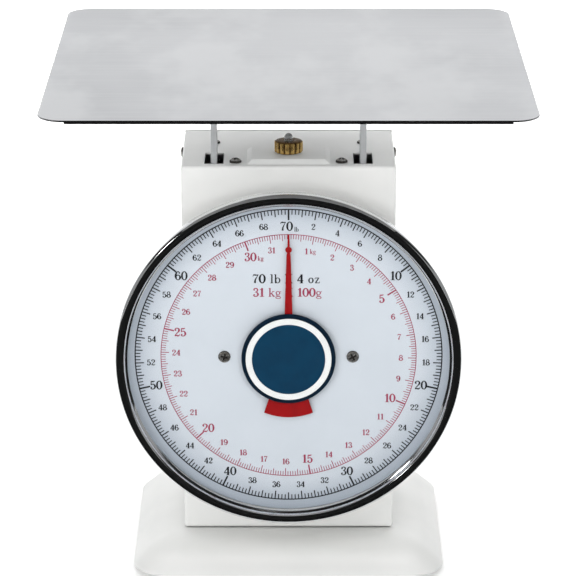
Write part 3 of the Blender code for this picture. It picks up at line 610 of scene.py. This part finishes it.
# Each glyph: its advance, then open strokes, closed ovals and round drops.
GLYPHS = {
    "0": (0.62, [], [arc_points(0.30, 0.5, 0.225, 0.465)], []),
    "1": (0.50, [stem(0.27, STEM), [(0.07, 0.80, SERIF), (0.17, 0.86, SERIF),
                                                         (0.27, 0.97, SERIF)],
                 serif(0.07, 0.47, 0.03)], [], []),
    "2": (0.62, [[(0.06, 0.74, THIN), (0.12, 0.90, THIN), (0.30, 0.965, THIN), (0.46, 0.86, 0.075),
                  (0.48, 0.69, STEM), (0.38, 0.50, 0.06), (0.20, 0.29, THIN), (0.06, 0.06, THIN)],
                 [(0.06, 0.05, THIN), (0.18, 0.10, 0.06), (0.36, 0.07, 0.085), (0.48, 0.10, 0.05),
                  (0.55, 0.27, 0.025)]], [], [(0.135, 0.74, 0.095)]),
    "3": (0.60, [[(0.08, 0.80, THIN), (0.15, 0.92, THIN), (0.29, 0.965, THIN), (0.43, 0.88, 0.07),
                  (0.44, 0.73, 0.08), (0.36, 0.58, 0.05), (0.22, 0.53, 0.03)],
                 [(0.22, 0.53, 0.03), (0.40, 0.48, 0.05), (0.49, 0.29, STEM), (0.44, 0.11, 0.07),
                  (0.28, 0.035, THIN), (0.13, 0.07, THIN), (0.06, 0.20, THIN)]], [],
          [(0.14, 0.79, 0.085), (0.13, 0.22, 0.09)]),
    "4": (0.62, [[(0.41, 0.97, THIN), (0.04, 0.29, THIN)], [(0.03, 0.28, THIN), (0.57, 0.28, THIN)],
                 [(0.41, 0.99, STEM), (0.41, 0.0, STEM)], serif(0.24, 0.57, 0.03)], [], []),
    "5": (0.60, [[(0.12, 0.95, THIN), (0.10, 0.50, THIN)],
                 [(0.11, 0.93, 0.05), (0.28, 0.90, 0.075), (0.47, 0.97, 0.03)],
                 [(0.10, 0.50, 0.03), (0.24, 0.61, THIN), (0.40, 0.56, 0.065), (0.49, 0.34, STEM),
                  (0.42, 0.12, 0.07), (0.27, 0.035, THIN), (0.12, 0.08, THIN), (0.06, 0.19, THIN)]], [],
          [(0.13, 0.21, 0.09)]),
    "6": (0.61, [SIX], [], [(0.43, 0.82, 0.085)]),
    "7": (0.58, [[(0.05, 0.74, SERIF), (0.08, 0.94, SERIF)],
                 [(0.07, 0.93, 0.04), (0.20, 0.93, 0.075), (0.36, 0.91, 0.055), (0.53, 0.96, 0.03)],
                 [(0.52, 0.95, 0.03), (0.38, 0.66, 0.045), (0.26, 0.35, 0.075),
                  (0.23, 0.03, 0.10)]], [], []),
    "8": (0.61, [], [arc_points(0.30, 0.75, 0.185, 0.215, THIN, 0.068),
                     arc_points(0.30, 0.275, 0.225, 0.24)], []),
    "9": (0.61, [[(0.60 - x, 1.0 - y, w) for x, y, w in SIX]], [], [(0.17, 0.18, 0.085)]),
    "l": (0.36, [stem(0.18, 0.07), serif(0.04, 0.18, 0.97), serif(0.04, 0.32, 0.03)], [], []),
    "b": (0.60, [stem(0.15, 0.065), serif(0.02, 0.15, 0.97)],
          [arc_points(0.34, 0.32, 0.18, 0.285, 0.034, 0.07)], []),
    "k": (0.64, [stem(0.15, 0.07), serif(0.02, 0.15, 0.97), serif(0.02, 0.28, 0.03),
                 [(0.15, 0.26, SERIF), (0.47, 0.62, SERIF)],
                 [(0.28, 0.40, 0.065), (0.51, 0.03, 0.065)], serif(0.38, 0.58, 0.62),
                 serif(0.40, 0.62, 0.03)], [], []),
    "g": (0.60, [[(0.16, 0.27, SERIF), (0.12, 0.17, 0.035), (0.22, 0.10, 0.045), (0.42, 0.06, 0.06)],
                 [(0.40, 0.52, SERIF), (0.52, 0.60, SERIF)]],
          [arc_points(0.26, 0.43, 0.165, 0.19, 0.032, 0.062),
           arc_points(0.28, -0.09, 0.22, 0.13, 0.032, 0.045)],
          [(0.53, 0.59, 0.045)]),
    "X": (0.74, [[(0.14, 0.98, STEM), (0.58, 0.02, STEM)], [(0.57, 0.97, SERIF), (0.13, 0.03, SERIF)],
                 serif(0.02, 0.28, 0.97), serif(0.46, 0.68, 0.97), serif(0.02, 0.26, 0.03),
                 serif(0.44, 0.71, 0.03)], [], []),
    "o": (0.56, [], [arc_points(0.27, 0.31, 0.18, 0.275, 0.034, 0.07)], []),
    "z": (0.54, [[(0.07, 0.59, 0.04), (0.43, 0.59, 0.04)], [(0.40, 0.58, 0.055), (0.11, 0.04, 0.055)],
                 [(0.08, 0.04, 0.04), (0.46, 0.04, 0.04)], [(0.07, 0.60, 0.025), (0.06, 0.44, 0.025)],
                 [(0.46, 0.03, 0.025), (0.48, 0.20, 0.025)]], [], []),
    " ": (0.36, [], [], []),
}


class Ink:
    """Raised printing of one colour. Each stroke is a closed thin solid, at a slightly different
    height from its neighbours so that no two of their faces lie in one plane."""

    def __init__(self):
        self.bm = bmesh.new()
        self.strokes = 0

    def levels(self):
        self.strokes += 1
        return DIAL_FACE - 0.05, DIAL_FACE + 0.05 + 0.006 * (self.strokes % 6)

    def stroke(self, points, closed=False, steps=5):
        line = curve_through(points, steps, closed)
        left, right = [], []
        for i, (x, y, half) in enumerate(line):
            before = line[i - 1] if closed or i else line[0]
            after = line[(i + 1) % len(line)] if closed or i < len(line) - 1 else line[-1]
            dx, dy = after[0] - before[0], after[1] - before[1]
            size = math.hypot(dx, dy)
            nx, ny = -dy / size * half, dx / size * half
            left.append((x + nx, y + ny))
            right.append((x - nx, y - ny))
        strip(self.bm, left, right, *self.levels(), DIAL, closed)

    def drop(self, x, y, radius):
        outline = [(x + radius * math.cos(a), y + radius * math.sin(a))
                   for a in (2 * math.pi * k / 14 for k in range(14))]
        prism(self.bm, outline, *self.levels(), DIAL)

    def write(self, text, x, y, height, width_scale=1.12, bold=1.0):
        """Upright text whose middle is at x, y. Returns where it ends."""
        scale = height * width_scale
        left = x - sum(GLYPHS[c][0] for c in text) * scale / 2
        base = y - height / 2
        pen = height * bold

        def placed(points):
            return [(left + px * scale, base + py * height, half * pen) for px, py, half in points]

        for character in text:
            advance, strokes, ovals, drops = GLYPHS[character]
            for points in strokes:
                self.stroke(placed(points))
            for points in ovals:
                self.stroke(placed(points), closed=True, steps=3)
            for px, py, radius in placed(drops):
                self.drop(px, py, radius)
            left += advance * scale
        return left

    def tick(self, turn, outer, length, half_width):
        """Radial line; turn is the share of the pointer's full turn, clockwise from the top."""
        angle = 2 * math.pi * turn
        s, c = math.sin(angle), math.cos(angle)
        inner = outer - length
        self.stroke([(outer * s, outer * c, half_width), (inner * s, inner * c, half_width)])

    def circle(self, radius, half_width):
        sides = 240
        outer, inner = [[(edge * math.sin(a), edge * math.cos(a))
                         for a in (2 * math.pi * k / sides for k in range(sides))]
                        for edge in (radius + half_width, radius - half_width)]
        strip(self.bm, outer, inner, *self.levels(), DIAL, closed=True)

    def finish(self, name, paint):
        return make_piece(name, self.bm, [paint], "housing")


def on_dial(turn, radius):
    return radius * math.sin(2 * math.pi * turn), radius * math.cos(2 * math.pi * turn)


def draw_ticks(ink, turns, radius, overlap, kinds):
    """Ticks inwards from a circle. Kinds are (every how many, length, half width), rarest first."""
    for i, turn in enumerate(turns):
        length, half = next(kind[1:] for kind in kinds if i % kind[0] == 0)
        ink.tick(turn, radius + overlap, length + overlap, half)


def print_pounds():
    """Outer scale: 280 divisions of 4 oz, numbered every 2 lb."""
    lines, numbers, radius, divisions = Ink(), Ink(), 110.0, 280
    lines.circle(radius, 0.44)
    draw_ticks(lines, [i / divisions for i in range(divisions)], radius, 0.2,
               [(40, 7.9, 0.62), (8, 6.2, 0.42), (4, 5.3, 0.40), (1, 3.8, 0.36)])
    lines.drop(0.0, 114.6, 0.5)
    lines.finish("pound_scale_lines", "ink_black")
    for pounds in range(2, 70, 2):
        big = pounds % 10 == 0
        out, size, bold = (97.6, 6.6, 1.0) if big else (98.7, 4.5, 1.05)
        numbers.write(str(pounds), *on_dial(pounds / BLACK_TURN, out), size, bold=bold)
    end = numbers.write("70", -1.4, 97.6, 6.8)
    numbers.write("lb", end + 2.4, 95.4, 3.4, 1.0, 1.1)
    numbers.finish("pound_scale_numbers", "ink_black")


def print_kilograms():
    """Inner scale: divisions of 100 g, numbered every kilogram."""
    lines, numbers, radius = Ink(), Ink(), 91.5
    lines.circle(radius, 0.26)
    draw_ticks(lines, [i / 10 / RED_TURN for i in range(318)], radius, 0.15,
               [(50, 7.2, 0.52), (10, 5.8, 0.28), (5, 4.8, 0.25), (1, 3.4, 0.24)])
    lines.finish("kilogram_scale_lines", "ink_red")
    for kilograms in range(1, 32):
        big = kilograms % 5 == 0
        out, size, bold = (79.6, 6.4, 1.0) if big else (80.6, 4.4, 1.05)
        x, y = on_dial(kilograms / RED_TURN, out)
        if kilograms == 1:
            end = numbers.write("1", x - 3.2, y, size)
            numbers.write("kg", end + 3.4, y - 0.2, 3.6, 1.0, 1.1)
            continue
        end = numbers.write(str(kilograms), x, y, size, bold=bold)
        if kilograms == 30:
            numbers.write("kg", end + 2.9, y - 1.1, 3.5, 1.0, 1.1)
    numbers.write("31 kg X 100g", -0.8, 48.4, 6.5, 1.17)
    numbers.finish("kilogram_scale_numbers", "ink_red")
    words = Ink()
    words.write("70 lb X 4 oz", -1.6, 58.6, 6.7, 1.19, 1.05)
    words.finish("capacity_text", "ink_black")


def build_dial():
    """Dial plate with its screw holes, and the printing on it."""
    bm = bmesh.new()
    plate_back, opening, edge, rounding = 84.2, 6.0, 117.4, 0.2
    lathe(bm, [(opening, plate_back + rounding), (opening + rounding, plate_back),
               (edge - rounding, plate_back), (edge, plate_back + rounding),
               (edge, DIAL_FACE - rounding), (edge - rounding, DIAL_FACE),
               (opening + rounding, DIAL_FACE), (opening, DIAL_FACE - rounding)], DIAL, 160, closed=True)
    bmesh.ops.recalc_face_normals(bm, faces=bm.faces)
    plate_middle = (DIAL_FACE + plate_back) / 2
    holes = [cylinder_block((side * DIAL_SCREW_X, -plate_middle, DIAL_Z), SCREW_HOLE, 6.0, "Y")
             for side in (-1, 1)]
    bm = carve(loose_body(bm), [], holes)
    make_piece("dial_face", bm, ["dial"], "housing", ["dial_plate"])
    print_pounds()
    print_kilograms()


def build_pointer():
    """Needle with its blob and sector tail, and the three-ring hub cap in front of it."""
    hub, blob, at, tip, tail, tail_half = 7.0, 2.35, 81.2, 92.4, 45.0, 23
    right = [(0.55, tip), (0.85, at + blob + 0.1)]
    right += [(blob * math.cos(a), at + blob * math.sin(a))
              for a in (math.radians(72 - 12 * k) for k in range(13))]
    right += [(1.35, at - blob - 0.3), (1.55, at - blob - 3.0), (2.9, 30.0), (2.9, hub)]
    right += [(hub * math.cos(a), hub * math.sin(a))
              for a in (math.radians(60 - 12 * k) for k in range(9))]
    right += [(tail * math.sin(a), -tail * math.cos(a))
              for a in (math.radians(tail_half - tail_half * k / 12) for k in range(13))]
    outline = right + [(-x, y) for x, y in reversed(right[:-1])]
    bm = bmesh.new()
    prism(bm, outline, 88.5, 89.2, DIAL)
    needle = make_piece("pointer_needle", bm, ["pointer"], "indicator", ["pointer"])
    soften(needle, 0.12, 2)

    low, top = 89.5, 92.0
    rows = [(0.0, top, 0), (24.0, top - 0.02, 0), (26.05, top - 0.05, 0), (26.25, top - 0.2, 1),
            (26.45, top - 0.05, 1), (30.5, top - 0.1, 1), (30.7, top - 0.25, 2), (30.9, top - 0.12, 2),
            (32.6, top - 0.3, 2), (33.3, top - 0.75, 2), (33.65, top - 1.3, 2), (33.75, low + 0.5, 2),
            (33.5, low, 2), (0.0, low, 2)]
    bm = bmesh.new()
    lathe(bm, [row[:2] for row in rows], DIAL, 128, tones=[row[2] for row in rows])
    make_piece("hub_cap_rings", bm, ["hub_blue", "hub_white", "hub_navy"], "indicator",
               ["hub_cap"], 50)


# ---------------------------------------------------------------- adjuster

def build_adjuster():
    """Fluted brass thumb nut with broken edges, and the domed end of its stud."""
    low, high = millimetres("thumb_nut")
    flutes, per_flute, widest, flute_depth, bore_radius = 15, 12, 10.3, 1.15, 3.4
    count = flutes * per_flute

    def outline(inset):
        points = []
        for k in range(count):
            a = 2 * math.pi * k / count
            lobe = abs(math.cos(flutes * a / 2)) ** 0.7
            r = widest - inset - (1.0 - lobe) * max(flute_depth - inset, 0.0)
            points.append((r * math.cos(a), MECH_Y + r * math.sin(a)))
        return points

    def level(points, height):
        return [Vector((x, y, height)) * MM for x, y in points]

    bore = [(bore_radius * math.cos(a), MECH_Y + bore_radius * math.sin(a))
            for a in (2 * math.pi * k / count for k in range(count))]
    wide_bore = [(x * 1.18, MECH_Y + (y - MECH_Y) * 1.18) for x, y in bore]
    sections = [(outline(0.9), low[2]), (outline(0.15), low[2] + 0.45), (outline(0.0), low[2] + 0.9),
                (outline(0.0), high[2] - 1.2), (outline(0.3), high[2] - 0.75),
                (outline(1.15), high[2] - 0.35), (outline(2.4), high[2] - 0.05),
                (outline(3.2), high[2]), (wide_bore, high[2]),
                (bore, high[2] - 0.6), (bore, low[2])]
    bm = bmesh.new()
    loft(bm, [level(*section) for section in sections], ring=True)
    make_piece("fluted_brass_nut", bm, ["brass"], "adjuster", ["thumb_nut"], 40)

    stud_low, stud_top = (corner[2] for corner in millimetres("adjuster_stud"))
    radius, root, pitch, dome_height, thread_end = 3.2, 2.95, 0.7, 3.4, 300.0
    dome = [(radius * math.sin(a), stud_top - dome_height + dome_height * math.cos(a))
            for a in (math.radians(15 * k) for k in range(7))]
    thread = []
    height = stud_top - 4.2
    while height > thread_end:
        thread += [(radius, height), (root, height - pitch / 2)]
        height -= pitch
    head = [(radius, stud_low + 4.5), (5.3, stud_low + 4.5), (5.5, stud_low + 4.2), (5.5, stud_low + 0.3),
            (5.3, stud_low), (0.0, stud_low)]
    bm = bmesh.new()
    lathe(bm, dome + thread + head, axis_place((0, MECH_Y, 0), (0, 0, 1)), 64)
    make_piece("domed_stud", bm, ["stud"], "hanger", ["adjuster_stud"], 60)


# ---------------------------------------------------------------- tray and what carries it

def build_tray():
    """Sheet with rounded corners; along each straight side its edge is folded back below."""
    low, high = millimetres("tray")
    size, top, sheet, corner = high[0] - low[0], high[2], 1.2, 18.0
    sections = [(0.55, top), (0.2, top - 0.08), (0.03, top - 0.3), (0.0, top - 0.6), (0.03, top - 0.9),
                (0.2, top - 1.12), (0.55, top - sheet)]
    loops = [[Vector((x, y, z)) * MM for x, y in rounded_rectangle(size - 2 * inset, size - 2 * inset,
                                                                   corner - inset, 16)]
             for inset, z in sections]
    bm = bmesh.new()
    loft(bm, loops, tone=2, last_tone=1)
    run, deep, edge = size / 2 - 19.0, 9.0, size / 2
    fold = [(edge - 0.06, top - 1.3), (edge, top - 1.7), (edge - 0.06, low[2] + 0.45),
            (edge - 0.35, low[2] + 0.08), (edge - 0.8, low[2]), (edge - deep, low[2]),
            (edge - deep - 0.2, low[2] + 0.6), (edge - deep, top - 1.24), (edge - 0.4, top - 1.24)]
    for quarter in range(4):
        turn = Matrix.Rotation(math.radians(90 * quarter), 4, "Z")
        ends = [[turn @ Vector((x, y, z)) * MM for x, z in fold] for y in (-run, run)]
        loft(bm, ends, tone=2, last_tone=2)
    make_piece("tray_sheet", bm, ["tray", "tray_under", "tray_edge_painted_dark"], "platform",
               ["tray"])


def build_springs():
    """Extension springs with hooks; they stretch between the hanger and the carriage."""
    coil_r, wire, turns, top, bottom, hook_r = 7.6, 1.25, 11, 260.0, 126.0, 4.6
    rise = coil_r + hook_r
    for side, label in SIDES:
        upper = [(0.55 * coil_r, 0.0, top - rise + 2.6), (0.6, 0.0, top - rise + 4.6)]
        upper += [(hook_r * math.cos(a), 0.0, top + hook_r * math.sin(a))
                  for a in (math.radians(-90 + 20 * k) for k in range(15))]
        middle = (top + bottom) / 2
        lower = [(x, y, 2 * middle - z) for x, y, z in upper]
        coil = []
        per_turn = 28
        for k in range(turns * per_turn + 1):
            a = 2 * math.pi * k / per_turn
            coil.append((coil_r * math.cos(a), coil_r * math.sin(a),
                         bottom + rise + (top - bottom - 2 * rise) * k / (turns * per_turn)))
        path = [Vector((side * 22.0 + x, MECH_Y + y, z)) for x, y, z in lower[::-1] + coil + upper]
        bm = bmesh.new()
        loops, normal = [], Vector((0, 1, 0))
        for i, point in enumerate(path):
            along = (path[min(i + 1, len(path) - 1)] - path[max(i - 1, 0)]).normalized()
            normal = (normal - along * normal.dot(along)).normalized()
            across = along.cross(normal)
            loops.append([(point + wire * (normal * math.cos(a) + across * math.sin(a))) * MM
                          for a in (2 * math.pi * k / 10 for k in range(10))])
        loft(bm, loops)
        spring = make_piece(f"coil_spring_{label}", bm, ["spring"], None)
        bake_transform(spring)
        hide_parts(f"spring_{label}")


def dress_cad_nodes():
    """Finishes and soft edges for the CAD nodes that are shown as they are."""
    finishes = {
        "strap": (("strap_left", "strap_right", "rail_left", "rail_right", "rail_tie_plate"), 0.4),
        "rubber": (("pad_front_left", "pad_front_right", "pad_rear_left", "pad_rear_right"), 0.5),
        "gear_brass": (("pinion", "rack", "front_bush", "rear_bush"), 0.08),
        "steel": (("side_plate_left", "side_plate_right", "top_bridge", "front_bearing_plate",
                   "rear_bearing_plate", "lower_pivot_shaft", "upper_pivot_shaft", "lower_lever",
                   "upper_lever", "carriage_cross", "spring_hanger", "dashpot_cylinder",
                   "dashpot_piston", "dial_post_left", "dial_post_right", "pointer_shaft"), 0.25),
    }
    for paint, (names, width) in finishes.items():
        for name in names:
            node = NODES[name]
            node.data.materials.clear()
            node.data.materials.append(PAINT[paint])
            soften(node, width, 2, weld=True)


# ---------------------------------------------------------------- studio

def make_world():
    """Pale room: bright behind and above, dim at the sides and in front. The camera sees plain white."""
    world = bpy.data.worlds.new("studio")
    bpy.context.scene.world = world
    world.use_nodes = True
    tree = world.node_tree
    tree.nodes.clear()
    coord = add_node(tree, "TexCoord")
    split = add_node(tree, "SeparateXYZ", {0: coord.outputs["Generated"]})
    low = smooth_range(tree, split.outputs["Z"], 0.25, 0.36, To_Min=0.36, To_Max=0.03)
    back = smooth_range(tree, split.outputs["Y"], 0.45, 0.88, To_Max=0.88)
    tree.links.new(low, back.node.inputs["To Min"])
    above = smooth_range(tree, split.outputs["Z"], 0.75, 0.97, To_Max=0.6)
    most = add_node(tree, "Math", {0: back, 1: above}, operation="MAXIMUM")
    room = add_node(tree, "Background", {"Strength": most.outputs[0]}, {"Color": (0.98, 0.99, 1.0, 1.0)})
    plain = add_node(tree, "Background", values={"Color": (1, 1, 1, 1), "Strength": 1.0})
    path = add_node(tree, "LightPath")
    mix = add_node(tree, "MixShader", {0: path.outputs["Is Camera Ray"], 1: room.outputs[0],
                                       2: plain.outputs[0]})
    out = add_node(tree, "OutputWorld", {"Surface": mix.outputs[0]})
    out.is_active_output = True


def look_at(obj, point):
    obj.rotation_euler = (Vector(point) - obj.location).to_track_quat("-Z", "Y").to_euler()


def add_light(name, place, target, size, power):
    data = bpy.data.lights.new(name, "AREA")
    data.shape, data.size, data.size_y, data.energy = "RECTANGLE", *size, power
    light = bpy.data.objects.new(name, data)
    light.location = place
    light.visible_camera = False
    bpy.context.scene.collection.objects.link(light)
    look_at(light, target)
    return light


def stage_sheet(name, corners, color, roughness, glow=0.0):
    mesh = bpy.data.meshes.new(name)
    mesh.from_pydata(corners, [], [tuple(range(len(corners)))])
    obj = bpy.data.objects.new(name, mesh)
    bpy.context.scene.collection.objects.link(obj)
    mesh.materials.append(new_paint(name, color, roughness, Emission_Color=(1, 1, 1, 1),
                                    Emission_Strength=glow))
    return obj


def build_studio():
    make_world()
    reach = 9.0
    stage_sheet("floor", [(-reach, -reach, -0.0002), (reach, -reach, -0.0002), (reach, reach, -0.0002),
                          (-reach, reach, -0.0002)], (0.93, 0.93, 0.925), 0.9, glow=0.22)
    # Cards seen only in reflections: dark floor and wall in front, and a grey card just under the tray,
    # which is painted shade standing for the tray's shaded underside in reflections.
    cards = [("dark_floor", [(-3.0, -5.0, 0.003), (3.0, -5.0, 0.003), (3.0, -0.13, 0.003),
                             (-3.0, -0.13, 0.003)], 0.004),
             ("dark_wall", [(-0.95, -1.3, 0.003), (0.95, -1.3, 0.003), (0.95, -1.15, 1.6),
                            (-0.95, -1.15, 1.6)], 0.004),
             ("tray_shade_card", [(-0.165, -0.165, 0.344), (0.165, -0.165, 0.344), (0.165, 0.165, 0.344),
                               (-0.165, 0.165, 0.344)], 0.22)]
    for name, corners, grey in cards:
        card = stage_sheet(name, corners, (grey, grey, grey), 1.0)
        card.visible_camera = card.visible_diffuse = False
        card.visible_shadow = card.visible_transmission = False
    middle = (0.0, 0.0, 0.18)
    soft = [add_light("key_left", (-1.25, -2.0, 1.0), middle, (0.9, 0.7), 12),
            add_light("key_right", (1.05, -2.1, 1.0), middle, (0.7, 0.7), 7.5),
            add_light("front_low", (-0.2, -2.6, 0.55), middle, (1.6, 0.5), 12),
            add_light("front_high", (0.0, -1.7, 1.9), (0.0, -0.05, 0.06), (1.2, 0.9), 14),
            add_light("back_low", (0.0, 2.2, 0.85), (0.0, 0.0, 0.28), (2.2, 0.5), 30),
            add_light("overhead", (0.0, 0.5, 2.4), (0, 0.2, 0), (2.4, 2.0), 22),
            add_light("backdrop", (0.0, 3.2, 2.2), (0.0, 2.4, 0.0), (5.0, 1.6), 46)]
    for light in soft:
        light.visible_glossy = False
    # Small lamps that show only as glints.
    for name, place, size, power in (("glint_right", (0.36, -1.6, 1.9), (0.22, 0.10), 1.6),
                                     ("glint_left", (-1.5, -1.3, 1.0), (0.30, 0.30), 1.8)):
        add_light(name, place, middle, size, power).visible_diffuse = False


def place_camera():
    """A view straight from the front, looking down at the photograph's angle."""
    target = Vector((-0.0004, 0.0, 0.1928))
    elevation, distance = math.radians(18.0), 2.251
    data = bpy.data.cameras.new("camera")
    data.lens, data.sensor_width = 189.7, 36.0
    data.clip_start, data.clip_end = 0.05, 60.0
    camera = bpy.data.objects.new("camera", data)
    camera.location = target + distance * Vector((0.0, -math.cos(elevation), math.sin(elevation)))
    bpy.context.scene.collection.objects.link(camera)
    look_at(camera, target)
    bpy.context.scene.camera = camera
    bpy.context.scene.view_settings.view_transform = "Standard"


build_base()
build_casing()
build_drum()
build_dial()
build_pointer()
build_screws()
build_adjuster()
build_tray()
build_springs()
dress_cad_nodes()
build_studio()
place_camera()
